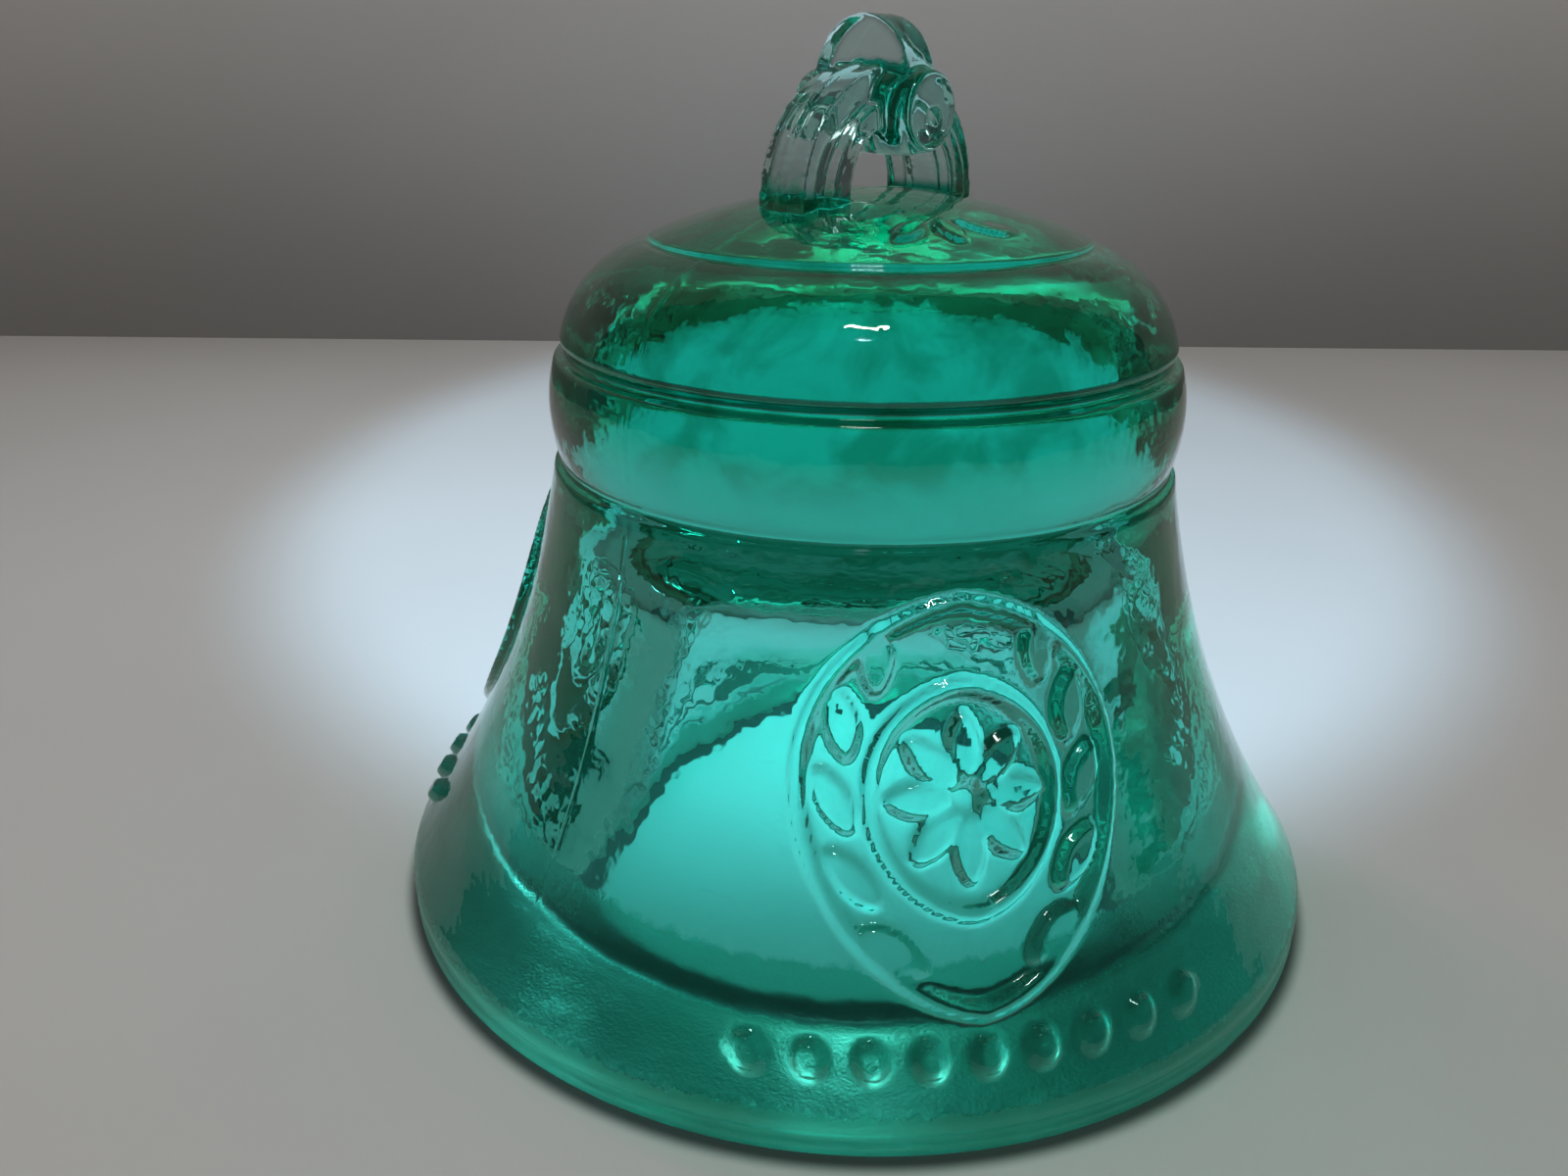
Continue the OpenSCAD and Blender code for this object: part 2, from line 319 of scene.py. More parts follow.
def makeGlass(look, frost, clouds, ripple):
    material, tree, shader = startMaterial("tealPressedGlass")
    shader.inputs["Transmission Weight"].default_value = 1.0
    shader.inputs["IOR"].default_value = look["ior"]
    coords = ownCoords(tree)
    height = splitParts(tree, coords)["Z"]
    frosted = frostMask(tree, frost, coords, height)
    rough = rampBetween(tree, frosted, 0.0, 1.0, False, look["polished"], frost["roughness"])
    link(tree, rough, shader.inputs["Roughness"])
    tint = cloudyTint(tree, clouds, coords, height, look["base"])
    link(tree, tintBetween(tree, frosted, tint, frost["tint"]), shader.inputs["Base Color"])
    addBump(tree, shader, rippleHeight(tree, ripple, frost, frosted, coords), 1.0, mm)
    absorb = tree.nodes.new("ShaderNodeVolumeAbsorption")
    absorb.inputs["Color"].default_value = look["absorb"]
    absorb.inputs["Density"].default_value = look["density"]
    output = tree.nodes["Material Output"]
    link(tree, absorb.outputs["Volume"], output.inputs["Volume"])
    letLampsThrough(tree, shader, output)
    return material


tealGlass = makeGlass(glassLook, frostLook, cloudLook, rippleLook)
print("materials made")


def bakeModifiers(thing):
    graph = bpy.context.evaluated_depsgraph_get()
    mesh = bpy.data.meshes.new_from_object(thing.evaluated_get(graph))
    thing.modifiers.clear()
    thing.data = mesh
    return thing


def arcPoints(center, radius, start, end, count):
    angles = np.radians(np.linspace(start, end, count))
    return [(center[0] + radius * math.cos(a), center[1] + radius * math.sin(a)) for a in angles]


def arcThrough(first, last, radius, bulge, count):
    # arc between two points; bulge 1 or -1 picks the side that its centre is on
    first, last = np.array(first, float), np.array(last, float)
    chord = last - first
    length = np.hypot(*chord)
    side = np.array([-chord[1], chord[0]]) / length * bulge
    center = (first + last) / 2 + side * math.sqrt(radius * radius - length * length / 4)
    a0 = math.atan2(*(first - center)[::-1])
    a1 = math.atan2(*(last - center)[::-1])
    if a1 - a0 > math.pi:
        a1 -= 2 * math.pi
    if a0 - a1 > math.pi:
        a1 += 2 * math.pi
    return [(center[0] + radius * math.cos(a), center[1] + radius * math.sin(a))
            for a in np.linspace(a0, a1, count)]


def roundCorners(path):
    # path holds (x, y) or (x, y, corner radius); each rounded corner becomes a short arc
    steps, sideShare = 5, 0.48
    rounded = []
    for i, point in enumerate(path):
        if len(point) == 2 or i in (0, len(path) - 1):
            rounded.append(point[:2])
            continue
        here = np.array(point[:2])
        before = np.array(path[i - 1][:2]) - here
        after = np.array(path[i + 1][:2]) - here
        lengths = np.hypot(*before), np.hypot(*after)
        before, after = before / lengths[0], after / lengths[1]
        half = math.acos(max(-1.0, min(1.0, float(before @ after)))) / 2
        reach = min(point[2] / math.tan(half), sideShare * lengths[0], sideShare * lengths[1])
        start, end = here + before * reach, here + after * reach
        for t in np.linspace(0, 1, steps):
            rounded.append(tuple(start * (1 - t) ** 2 + here * 2 * t * (1 - t) + end * t * t))
    return rounded


def resample(path, spacing):
    # points along the path, about spacing(z) apart
    path = np.array(path, float)
    steps = np.hypot(*np.diff(path, axis=0).T)
    along = np.concatenate([[0], np.cumsum(steps)])
    places, at, shortest = [0.0], 0.0, 0.1
    while True:
        here = [np.interp(at, along, path[:, k]) for k in (0, 1)]
        at += spacing(*here)
        if at > along[-1] - shortest:
            break
        places.append(at)
    places.append(along[-1])
    return [tuple(float(np.interp(p, along, path[:, k])) for k in (0, 1)) for p in places]


rimHigh = boxMm("foot_rim")[1]
beltLow, beltHigh = boxMm("belt")
plateLow, plateHigh = boxMm("crown_plate")

# each of rimSteps is an inset from the lip, a height and the corner's radius
bodyShape = {"lip": rimHigh[0], "rimTop": rimHigh[2], "rimStep": 0.35, "rimLedge": 0.9, "rimRound": 0.5,
             "rimSteps": [(1.1, 0.0, 0.5), (0.1, 0.5, 0.5), (0.0, 1.4, 0.4), (0.35, 2.05, 0.5),
                          (0.0, 2.7, 0.4)],
             "waistRadius": 28.5, "waistTop": 42.3, "flareRadius": 92.4, "flareCorner": 0.15,
             "grooveRadius": 27.9, "grooveRise": 0.55, "grooveCorner": 0.25, "beltCorner": beltLow[2],
             "beltTop": beltHigh[2], "beltRadius": beltHigh[0], "beltArc": 14.0, "beltMiddle": 47.6,
             "beltLift": 0.25, "beltRound": 0.4, "domeFoot": 27.0, "domeRadius": 27.5, "domeLow": 53.4,
             "domeArc": 10.6, "domeRound": 0.6, "neckRise": 0.5, "ledge": 20.1, "ledgeTop": plateLow[2],
             "ledgeRound": 0.8, "ledgeRise": 0.02, "plate": plateHigh[0], "plateEdge": 62.0,
             "plateTop": plateHigh[2], "plateRound": 0.45, "smallRound": 0.3, "nudge": 0.05}
hollowShape = {"mouth": 28.0, "mouthRound": 1.5, "top": 18.0, "wallTop": 29.0, "wallArc": 110.0,
               "corner": 6.5}
gridShape = {"fine": 0.41, "coarse": 0.75, "hollow": 1.0, "panelHalf": 27.0, "panelStep": 0.64,
             "plainStep": 1.35, "seamHalf": 1.2, "seamStep": 0.30, "reliefLow": 5.2, "reliefHigh": 40.6,
             "edges": [(0.0, 5.0), (41.6, 43.9), (51.4, 54.2), (61.0, 62.6)], "edgeStep": 0.25,
             "edgeReach": 2.0, "plateMargin": 0.4, "poleReach": 9.0, "lastColumn": 359.8}
panelShape = {"azimuth": -35.0, "panels": 3, "height": 0.9}

# sprig of leaves on the crown plate
sprig = {"azimuth": -24.0, "reach": 14.2, "fan": 13.0, "lean": 40.0, "length": 4.0, "width": 1.5,
         "height": 0.35, "edge": 0.4, "above": 0.1, "fade": 0.3}


def outsidePath(s):
    flareSteps, beltSteps, domeSteps, capSteps = 90, 18, 30, 40
    flare = arcThrough((s["lip"] - s["rimStep"], s["rimTop"]), (s["waistRadius"], s["waistTop"]),
                       s["flareRadius"], -1, flareSteps)
    beltCenter = (s["beltRadius"] - s["beltArc"], s["beltMiddle"])
    beltStart = math.degrees(math.asin((s["beltCorner"] + s["beltLift"] - beltCenter[1]) / s["beltArc"]))
    beltEnd = math.degrees(math.asin((s["beltTop"] - 2 * s["nudge"] - beltCenter[1]) / s["beltArc"]))
    belt = arcPoints(beltCenter, s["beltArc"], beltStart, beltEnd, beltSteps)
    dome = arcThrough((s["domeRadius"], s["domeLow"]), (s["ledge"], s["ledgeTop"]), s["domeArc"], 1,
                      domeSteps)
    rise = s["plateTop"] - s["plateEdge"]
    capRadius = (s["plate"] ** 2 + rise ** 2) / (2 * rise)
    capHalf = math.degrees(math.asin(s["plate"] / capRadius))
    cap = arcPoints((0, s["plateTop"] - capRadius), capRadius, 90 - capHalf, 90, capSteps)
    small, nudge = s["smallRound"], s["nudge"]
    rim = [(s["lip"] - inset, height, corner) for inset, height, corner in s["rimSteps"]]
    rim += [(s["lip"], s["rimTop"] - s["rimLedge"], s["rimRound"]), (*flare[0], s["flareCorner"])]
    groove = [(*flare[-1], s["beltRound"]), (s["grooveRadius"], s["waistTop"] + s["grooveRise"], small),
              (s["grooveRadius"] + nudge, s["beltCorner"] + nudge, s["grooveCorner"]), (*belt[0], small)]
    neck = [(*belt[-1], s["beltRound"]), (s["domeFoot"] + 2 * nudge, s["beltTop"] + 2 * nudge, small),
            (s["domeFoot"], s["beltTop"] + s["neckRise"], small), (*dome[0], s["domeRound"])]
    ledge = [(*dome[-1], s["ledgeRound"]),
             (s["plate"] + 2 * nudge, s["ledgeTop"] + s["ledgeRise"], s["rimRound"]),
             (*cap[0], s["plateRound"])]
    return rim + flare[1:-1] + groove + belt[1:-1] + neck + dome[1:-3] + ledge + cap[1:]


def insidePath(s):
    wallSteps, cornerSteps = 40, 16
    wall = arcThrough((s["mouth"], 0.0), (s["top"], s["wallTop"]), s["wallArc"], -1, wallSteps)
    lean = math.degrees(math.atan2(wall[-2][0] - wall[-1][0], wall[-1][1] - wall[-2][1]))
    toward = math.radians(lean)
    center = (wall[-1][0] - s["corner"] * math.cos(toward), wall[-1][1] - s["corner"] * math.sin(toward))
    ceiling = arcPoints(center, s["corner"], lean, 90, cornerSteps)
    mouth = [(s["mouth"], 0.0, s["mouthRound"]), (s["mouth"] + 2 * s["mouthRound"], 0.0)]
    return [(0.0, ceiling[-1][1])] + ceiling[::-1] + wall[-2:0:-1] + mouth


def columnAngles(grid, panel):
    # fine columns where there is ornament or a mould line, wide ones elsewhere
    angles, at = [], 0.0
    span = 360 / panel["panels"]
    while at < grid["lastColumn"]:
        angles.append(at)
        fromPanel = abs((at - panel["azimuth"] + span / 2) % span - span / 2)
        fromSeam = abs(at % 180 - 90)
        step = grid["panelStep"] if fromPanel < grid["panelHalf"] else grid["plainStep"]
        if fromSeam < grid["seamHalf"] + step:
            step = grid["seamStep"]
        at += step
    return np.radians(angles[:len(angles) - len(angles) % 4])


def latheMesh(name, rows, angles):
    # rows are (radius, height, stride); a stride of 2 or 4 keeps every second or fourth column
    count, tiny = len(angles), 1e-6
    points, faces, rings = [], [], []
    for radius, height, stride in rows:
        if radius < tiny:
            rings.append(([len(points)], 0))
            points.append((0.0, 0.0, height * mm))
            continue
        kept = angles[::stride]
        rings.append((list(range(len(points), len(points) + len(kept))), stride))
        points += [(radius * math.cos(a) * mm, radius * math.sin(a) * mm, height * mm) for a in kept]
    for (low, lowStride), (high, highStride) in zip(rings, rings[1:] + rings[:1]):
        if lowStride == 0 and highStride == 0:
            continue
        if highStride == 0 or lowStride == 0:
            ring, pole = (low, high[0]) if highStride == 0 else (high[::-1], low[0])
            faces += [(ring[i], ring[(i + 1) % len(ring)], pole) for i in range(len(ring))]
            continue
        stride = max(lowStride, highStride)
        for j in range(count // stride):
            lowPart, highPart = ([ring[(j * stride // every + k) % len(ring)]
                                  for k in range(stride // every + 1)]
                                 for ring, every in ((low, lowStride), (high, highStride)))
            faces.append(tuple(lowPart + highPart[::-1]))
    mesh = bpy.data.meshes.new(name)
    mesh.from_pydata(points, [], faces)
    mesh.update()
    return mesh


def makeBody(shape, hollow, grid, panel):
    def spacing(radius, height):
        onEdge = any(low < height < high for low, high in grid["edges"])
        if onEdge and radius > shape["plate"] - grid["edgeReach"]:
            return grid["edgeStep"]
        if height > shape["plateEdge"] and abs(radius - sprig["reach"]) < sprig["length"]:
            return grid["edgeStep"]
        return grid["fine"] if grid["reliefLow"] < height < grid["reliefHigh"] else grid["coarse"]

    outside = resample(roundCorners(outsidePath(shape)), spacing)
    inside = resample(roundCorners(insidePath(hollow)), lambda radius, height: grid["hollow"])
    rows = []
    for radius, height in outside:
        stride = 1 if height < grid["reliefHigh"] + grid["plateMargin"] else 2
        if height > shape["ledgeTop"] and radius < shape["plate"] - grid["plateMargin"]:
            stride = 2 if radius > grid["poleReach"] else 4
        rows.append((radius, height, stride))
    rows += [(radius, height, 4) for radius, height in inside]
    angles = columnAngles(grid, panel)
    mesh = latheMesh("bellBody", rows, angles)
    body = addObject("bellBody", mesh)
    build = bmesh.new()
    build.from_mesh(mesh)
    bmesh.ops.recalc_face_normals(build, faces=build.faces)
    build.to_mesh(mesh)
    build.free()
    # the first rows are the outside, and the ornament belongs there only
    outsideCount = sum(len(angles[::stride]) for radius, height, stride in rows[:len(outside) - 1]) + 1
    marks = mesh.attributes.new("outsideMark", "FLOAT", "POINT")
    marks.data.foreach_set("value", [1.0 if i < outsideCount else 0.0 for i in range(len(mesh.vertices))])
    print("body grid:", len(angles), "columns,", len(rows), "rows,", len(mesh.polygons), "faces")
    return body


body = makeBody(bodyShape, hollowShape, gridShape, panelShape)


ornament = {"ovalMiddle": 24.5, "ovalLength": 30.0, "ovalWidth": 26.0, "frameWidth": 1.1, "bandGap": 5.2,
            "frameShrink": 1.2, "leafCount": 5, "leafLength": 4.6, "leafWidth": 2.0, "leafTurn": 24.0,
            "leafGap": 0.9, "petalCount": 8, "petalLength": 4.6, "petalWidth": 2.0, "petalStart": 1.3,
            "beadCount": 9, "beadStep": 4.4, "beadHeight": 7.4, "beadRadius": 0.9, "edge": 0.55,
            "seamWidth": 0.5, "seamHeight": 0.05, "wave": 0.10, "hollowWave": 0.45, "waveScale": 110.0,
            "waveDetail": 3.0, "waveRoughness": 0.55, "seed": 7, "arcSteps": 48, "beadSides": 16,
            "flatFoot": 1.0, "fullWave": 6.0, "fade": 0.6}


def addSocket(tree, name, kind):
    return tree.interface.new_socket(name, in_out="INPUT", socket_type=kind).identifier


def geoNode(tree, kind, inputs=(), **settings):
    node = tree.nodes.new(kind)
    for key, value in settings.items():
        setattr(node, key, value)
    for name, value in dict(inputs).items():
        socket = node.inputs[name]
        if isinstance(value, bpy.types.NodeSocket):
            link(tree, value, socket)
        else:
            socket.default_value = value
    return node


def combine(tree, x=0.0, y=0.0, z=0.0):
    return geoNode(tree, "ShaderNodeCombineXYZ", {"X": x, "Y": y, "Z": z}).outputs[0]


def moved(tree, geometry, place=(0, 0, 0), scale=(1, 1, 1)):
    node = geoNode(tree, "GeometryNodeTransform",
                   {"Geometry": geometry, "Translation": place, "Scale": scale})
    return node.outputs["Geometry"]


def joined(tree, pieces):
    node = geoNode(tree, "GeometryNodeJoinGeometry")
    for piece in pieces:
        link(tree, piece, node.inputs[0])
    return node.outputs[0]


def sideArc(tree, o, length, width, turn=None):
    # right-hand arc of a pointed oval; turn limits it to that half angle
    radius = (length ** 2 + width ** 2) / (4 * width)
    half = turn if turn is not None else math.asin(length / 2 / radius)
    arc = geoNode(tree, "GeometryNodeCurveArc",
                  {"Resolution": o["arcSteps"], "Radius": radius * mm, "Start Angle": -half,
                   "Sweep Angle": 2 * half}, mode="RADIUS")
    return moved(tree, arc.outputs["Curve"], ((width / 2 - radius) * mm, o["ovalMiddle"] * mm, 0))


def leafShape(tree, length, width):
    # disc pinched towards its two ends
    sides, endPinch = 20, -0.45
    disc = geoNode(tree, "GeometryNodeMeshCircle", {"Vertices": sides, "Radius": 1.0}, fill_type="NGON")
    position = geoNode(tree, "GeometryNodeInputPosition").outputs[0]
    parts = geoNode(tree, "ShaderNodeSeparateXYZ", {"Vector": position})
    pinch = mathNode(tree, "MULTIPLY_ADD", mathNode(tree, "POWER", parts.outputs["X"], 2.0), endPinch, 1.0)
    flat = combine(tree, parts.outputs["X"], mathNode(tree, "MULTIPLY", parts.outputs["Y"], pinch))
    shaped = geoNode(tree, "GeometryNodeSetPosition", {"Geometry": disc.outputs[0], "Position": flat})
    halfLength = mathNode(tree, "MULTIPLY", length, 0.5)
    size = combine(tree, halfLength, mathNode(tree, "MULTIPLY", width, 0.5), 1.0)
    return moved(tree, shaped.outputs[0], scale=size)


def placed(tree, points, shape, facing, turn=0.0):
    aim = geoNode(tree, "FunctionNodeAlignRotationToVector", {"Vector": facing}, axis="X")
    node = geoNode(tree, "GeometryNodeInstanceOnPoints",
                   {"Points": points, "Instance": shape, "Rotation": aim.outputs[0]})
    spun = geoNode(tree, "GeometryNodeRotateInstances",
                   {"Instances": node.outputs[0], "Rotation": (0, 0, turn)})
    return spun.outputs[0]


def distanceTo(tree, target, place, element):
    node = geoNode(tree, "GeometryNodeProximity", target_element=element)
    link(tree, target, node.inputs[0])
    sample = [socket for socket in node.inputs if socket.type == "VECTOR"][0]
    link(tree, place, sample)
    return node.outputs["Distance"]


def ornamentPlan(tree, o, start):
    # flat plan of one panel: frames as lines, leaves, petals and beads as filled shapes
    lines = []
    for inset in (o["frameWidth"] / 2, o["bandGap"] + o["frameWidth"] / 2):
        arc = sideArc(tree, o, o["ovalLength"] - 2 * o["frameShrink"] * inset, o["ovalWidth"] - 2 * inset)
        lines += [arc, moved(tree, arc, scale=(-1, 1, 1))]
    frames = geoNode(tree, "GeometryNodeCurveToMesh", {"Curve": joined(tree, lines)}).outputs[0]
    middle = o["ovalWidth"] - o["bandGap"] - o["frameWidth"]
    radius = (o["ovalLength"] ** 2 + middle ** 2) / (4 * middle)
    step = 2 * math.asin((o["leafLength"] + o["leafGap"]) / 2 / radius)
    branch = sideArc(tree, o, o["ovalLength"], middle, step * (o["leafCount"] - 1) / 2)
    spots = geoNode(tree, "GeometryNodeResampleCurve",
                    {"Curve": branch, "Count": start.outputs["Leaf Count"]})
    tangent = geoNode(tree, "GeometryNodeInputTangent").outputs[0]
    leaf = leafShape(tree, start.outputs["Leaf Length"], start.outputs["Leaf Width"])
    leaves = placed(tree, spots.outputs[0], leaf, tangent, math.radians(-o["leafTurn"]))
    ringRadius = (o["petalStart"] + o["petalLength"] / 2) * mm
    ring = geoNode(tree, "GeometryNodeMeshCircle",
                   {"Vertices": start.outputs["Petal Count"], "Radius": ringRadius})
    outward = geoNode(tree, "GeometryNodeInputPosition").outputs[0]
    petal = leafShape(tree, o["petalLength"] * mm, o["petalWidth"] * mm)
    petals = moved(tree, placed(tree, ring.outputs[0], petal, outward), (0, o["ovalMiddle"] * mm, 0))
    rowStart = -(o["beadCount"] - 1) / 2 * o["beadStep"] * mm
    row = geoNode(tree, "GeometryNodeMeshLine",
                  {"Count": start.outputs["Bead Count"],
                   "Start Location": (rowStart, o["beadHeight"] * mm, 0),
                   "Offset": (o["beadStep"] * mm, 0, 0)})
    bead = geoNode(tree, "GeometryNodeMeshCircle",
                   {"Vertices": o["beadSides"], "Radius": start.outputs["Bead Radius"]}, fill_type="NGON")
    beads = geoNode(tree, "GeometryNodeInstanceOnPoints",
                    {"Points": row.outputs[0], "Instance": bead.outputs[0]})
    shapes = joined(tree, [leaves, moved(tree, leaves, scale=(-1, 1, 1)), petals, beads.outputs[0]])
    return frames, geoNode(tree, "GeometryNodeRealizeInstances", {"Geometry": shapes}).outputs[0]


def sprigPlan(tree, s):
    # three small leaves in a fan, seen from above
    leaves = []
    for i in (-1, 0, 1):
        angle = math.radians(s["azimuth"] + i * s["fan"])
        place = (s["reach"] * math.cos(angle) * mm, s["reach"] * math.sin(angle) * mm, 0)
        turn = angle + math.radians(i * s["lean"])
        leaf = geoNode(tree, "GeometryNodeTransform",
                       {"Geometry": leafShape(tree, s["length"] * mm, s["width"] * mm),
                        "Translation": place, "Rotation": (0, 0, turn)})
        leaves.append(leaf.outputs["Geometry"])
    return joined(tree, leaves)


def addInputs(tree, o, panel, material):
    addSocket(tree, "Geometry", "NodeSocketGeometry")
    sizes = {"Relief Height": panel["height"] * mm, "Edge Softness": o["edge"] * mm,
             "Frame Width": o["frameWidth"] * mm, "Leaf Length": o["leafLength"] * mm,
             "Leaf Width": o["leafWidth"] * mm, "Bead Radius": o["beadRadius"] * mm,
             "Seam Width": o["seamWidth"] * mm, "Seam Height": o["seamHeight"] * mm,
             "Wave Depth": o["wave"] * mm, "Hollow Wave Depth": o["hollowWave"] * mm,
             "Wave Scale": o["waveScale"]}
    counts = {"Leaf Count": o["leafCount"], "Petal Count": o["petalCount"], "Bead Count": o["beadCount"],
              "Seed": o["seed"]}
    values = {addSocket(tree, name, "NodeSocketFloat"): value for name, value in sizes.items()}
    values.update({addSocket(tree, name, "NodeSocketInt"): value for name, value in counts.items()})
    values[addSocket(tree, "Glass", "NodeSocketMaterial")] = material
    return values


def panelRelief(tree, o, panel, start, place):
    # unroll each third of the flare onto the flat plan
    x, y, z = place
    span = 2 * math.pi / panel["panels"]
    firstEdge = math.radians(panel["azimuth"]) - span / 2
    angle = mathNode(tree, "SUBTRACT", mathNode(tree, "ARCTAN2", y, x), firstEdge)
    local = mathNode(tree, "SUBTRACT", mathNode(tree, "FLOORED_MODULO", angle, span), span / 2)
    across = mathNode(tree, "MULTIPLY", axisDistance(tree, x, y), mathNode(tree, "SINE", local))
    plan = combine(tree, across, z)
    frames, shapes = ornamentPlan(tree, o, start)
    edge = start.outputs["Edge Softness"]
    halfFrame = mathNode(tree, "MULTIPLY", start.outputs["Frame Width"], 0.5)
    frameStart = mathNode(tree, "SUBTRACT", halfFrame, mathNode(tree, "MULTIPLY", edge, 0.5))
    frameEnd = mathNode(tree, "ADD", frameStart, edge)
    toFrame = distanceTo(tree, frames, plan, "EDGES")
    toShape = distanceTo(tree, shapes, plan, "FACES")
    onFrame = rampBetween(tree, toFrame, frameStart, frameEnd, True, 1.0, 0.0)
    onShape = rampBetween(tree, toShape, 0.0, edge, True, 1.0, 0.0)
    either = mathNode(tree, "MAXIMUM", onFrame, onShape)
    raised = mathNode(tree, "MULTIPLY", either, start.outputs["Relief Height"])
    top = gridShape["reliefHigh"]
    belowWaist = rampBetween(tree, z, (top - o["fade"]) * mm, top * mm, True, 1.0, 0.0)
    return mathNode(tree, "MULTIPLY", raised, belowWaist)


def sprigRelief(tree, s, place):
    x, y, z = place
    reach = distanceTo(tree, sprigPlan(tree, s), combine(tree, x, y), "FACES")
    onSprig = rampBetween(tree, reach, 0.0, s["edge"] * mm, True, s["height"] * mm, 0.0)
    low = bodyShape["plateEdge"] + s["above"]
    onPlate = rampBetween(tree, z, low * mm, (low + s["fade"]) * mm)
    return mathNode(tree, "MULTIPLY", onSprig, onPlate)


def seamRelief(tree, start, x):
    half = mathNode(tree, "MULTIPLY", start.outputs["Seam Width"], 0.5)
    onSeam = rampBetween(tree, mathNode(tree, "ABSOLUTE", x), 0.0, half, True, 1.0, 0.0)
    return mathNode(tree, "MULTIPLY", onSeam, start.outputs["Seam Height"])


def waveHeight(tree, o, start, position, outside):
    # slow waves, deeper in the hollow where the plunger dragged
    noise = geoNode(tree, "ShaderNodeTexNoise",
                    {"Vector": position, "W": start.outputs["Seed"], "Scale": start.outputs["Wave Scale"],
                     "Detail": o["waveDetail"], "Roughness": o["waveRoughness"]}, noise_dimensions="4D")
    depth = rampBetween(tree, outside, 0.0, 1.0, False, start.outputs["Hollow Wave Depth"],
                        start.outputs["Wave Depth"])
    return mathNode(tree, "MULTIPLY", mathNode(tree, "SUBTRACT", noise.outputs[0], 0.5), depth)


def pressOrnament(body, o, panel, material):
    tree = bpy.data.node_groups.new("pressedOrnament", "GeometryNodeTree")
    tree.is_modifier = True
    values = addInputs(tree, o, panel, material)
    tree.interface.new_socket("Geometry", in_out="OUTPUT", socket_type="NodeSocketGeometry")
    start = tree.nodes.new("NodeGroupInput")
    end = tree.nodes.new("NodeGroupOutput")
    position = geoNode(tree, "GeometryNodeInputPosition").outputs[0]
    x, y, z = splitParts(tree, position)
    mark = geoNode(tree, "GeometryNodeInputNamedAttribute", {"Name": "outsideMark"}, data_type="FLOAT")
    outside = mark.outputs[0]
    # the foot stays flat: the mould line and the waves begin above it
    aboveFoot = rampBetween(tree, z, o["flatFoot"] * mm, o["fullWave"] * mm)
    raised = mathNode(tree, "ADD", panelRelief(tree, o, panel, start, (x, y, z)),
                      sprigRelief(tree, sprig, (x, y, z)))
    seam = mathNode(tree, "MULTIPLY", seamRelief(tree, start, x), aboveFoot)
    proud = mathNode(tree, "MULTIPLY", mathNode(tree, "ADD", raised, seam), outside)
    wave = mathNode(tree, "MULTIPLY", waveHeight(tree, o, start, position, outside), aboveFoot)
    normal = geoNode(tree, "GeometryNodeInputNormal").outputs[0]
    offset = scaledVector(tree, normal, mathNode(tree, "ADD", proud, wave))
    shaped = geoNode(tree, "GeometryNodeSetPosition",
                     {"Geometry": start.outputs["Geometry"], "Offset": offset})
    real = geoNode(tree, "GeometryNodeRealizeInstances", {"Geometry": shaped.outputs[0]})
    painted = geoNode(tree, "GeometryNodeSetMaterial",
                      {"Geometry": real.outputs[0], "Material": start.outputs["Glass"]})
    link(tree, painted.outputs[0], end.inputs[0])

    modifier = body.modifiers.new("pressedOrnament", "NODES")
    modifier.node_group = tree
    for identifier, value in values.items():
        modifier[identifier] = value
    bakeModifiers(body)


pressOrnament(body, ornament, panelShape, tealGlass)
print("ornament pressed:", len(body.data.polygons), "faces")


archHigh = boxMm("canon_arch")[1]
ribHigh = boxMm("canon_rib_front")[1]
pinHigh = boxMm("trunnion_front")[1]
lugHigh = boxMm("crown_lug")[1]

crownShape = {"archRadius": 10.8, "archShift": 0.5, "archHeight": 65.0, "gap": 6.6, "gapRound": 5.5,
              "gapTop": 71.4, "sideDrop": 2.3, "halfRib": archHigh[0], "halfSide": ribHigh[0],
              "pinHeight": 72.3, "pin": 3.6, "pinTaper": 0.35, "pinRound": 0.6, "pinHalf": pinHigh[0],
              "pinSides": 48, "dimple": 1.7, "dimpleDepth": 0.5, "dimpleDrop": 0.8,
              "lugHalf": lugHigh[0], "lugThick": lugHigh[1], "lugLow": 75.0, "lugTop": lugHigh[2],
              "lugMiddle": 74.4, "stem": 3.6, "seam": 0.22, "seamHalf": 0.25, "seamWiden": 1.0,
              "footLow": 62.6, "voxel": 0.25, "softening": 0.5, "smoothing": 2}


def slab(build, outline, axis, low, high):
    # closed prism of an outline: (y, z) pairs along X, or (x, z) pairs along Y
    def corner(a, b, depth):
        return (depth * mm, a * mm, b * mm) if axis == "X" else (a * mm, depth * mm, b * mm)

    ends = [[build.verts.new(corner(a, b, depth)) for a, b in outline] for depth in (low, high)]
    build.faces.new(ends[0])
    build.faces.new(ends[1])
    count = len(outline)
    for i in range(count):
        j = (i + 1) % count
        build.faces.new((ends[0][i], ends[0][j], ends[1][j], ends[1][i]))


def turned(build, path, count, middle):
    # closed solid of revolution about a line along X, at the height called middle
    rings = []
    for along, radius in path:
        if radius == 0:
            rings.append([build.verts.new((along * mm, 0, middle * mm))])
            continue
        rings.append([build.verts.new((along * mm, radius * math.sin(a) * mm,
                                       (middle + radius * math.cos(a)) * mm))
                      for a in np.linspace(0, 2 * math.pi, count, endpoint=False)])
    for low, high in zip(rings, rings[1:]):
        for i in range(count):
            j = (i + 1) % count
            if len(low) == 1:
                build.faces.new((low[0], high[j], high[i]))
            elif len(high) == 1:
                build.faces.new((low[i], low[j], high[0]))
            else:
                build.faces.new((low[i], low[j], high[j], high[i]))


